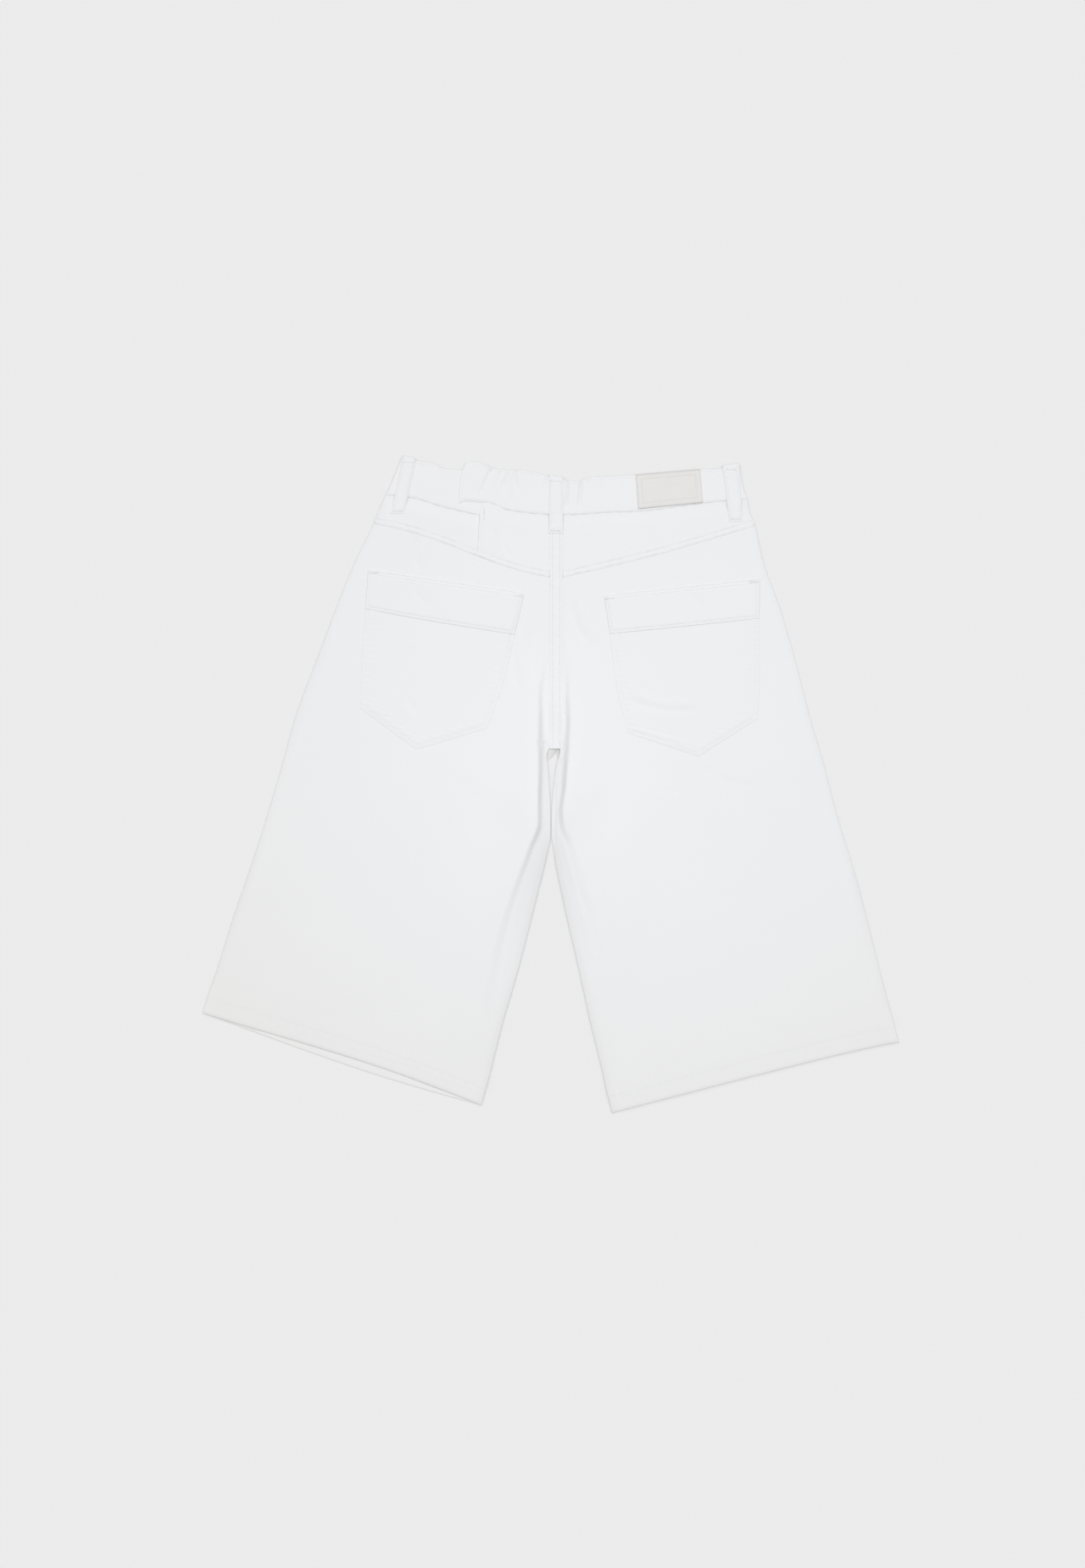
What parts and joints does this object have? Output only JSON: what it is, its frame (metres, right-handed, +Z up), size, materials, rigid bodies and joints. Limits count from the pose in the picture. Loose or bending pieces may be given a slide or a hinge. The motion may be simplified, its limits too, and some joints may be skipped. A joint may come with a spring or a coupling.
{
  "type": "denim shorts",
  "caption": "Long wide-legged denim shorts laid face down, with an elasticated back waistband with a tab end, patch pockets, belt loops and a plain waist patch.",
  "frame": {"origin": "bottom centre of the laid garment, on the surface it lies on", "axes": "+X to the right of the laid garment, across both hems, +Y towards the waist, +Z up, away from the surface"},
  "size_m": [0.6914, 0.6523, 0.0145],
  "materials": {
    "denim": "matt white cotton twill",
    "waist_denim": "matt white cotton twill, folded double",
    "seam_denim": "matt white cotton twill, felled and stitched",
    "patch_leather": "smooth warm light grey, stitched",
    "button_metal": "brushed"
  },
  "bodies": {
    "root": {"back_panel_left": "denim", "back_panel_right": "denim", "front_panel_left": "denim", "front_panel_right": "denim", "back_yoke_left_side": "denim", "back_yoke_left_centre": "denim", "back_yoke_right": "denim", "fly_shield": "denim", "pocket_left": "denim", "pocket_right": "denim", "pocket_band_left": "denim", "pocket_band_right": "denim", "waistband_back_side": "waist_denim", "waistband_back_elastic": "waist_denim", "waistband_front_left": "waist_denim", "waistband_front_right": "waist_denim", "belt_loop_left": "waist_denim", "belt_loop_centre": "waist_denim", "belt_loop_right": "waist_denim", "seat_fell": "seam_denim", "yoke_fell_left": "seam_denim", "yoke_fell_right": "seam_denim", "waist_patch": "patch_leather", "waist_button": "button_metal"}
  },
  "joints": []
}
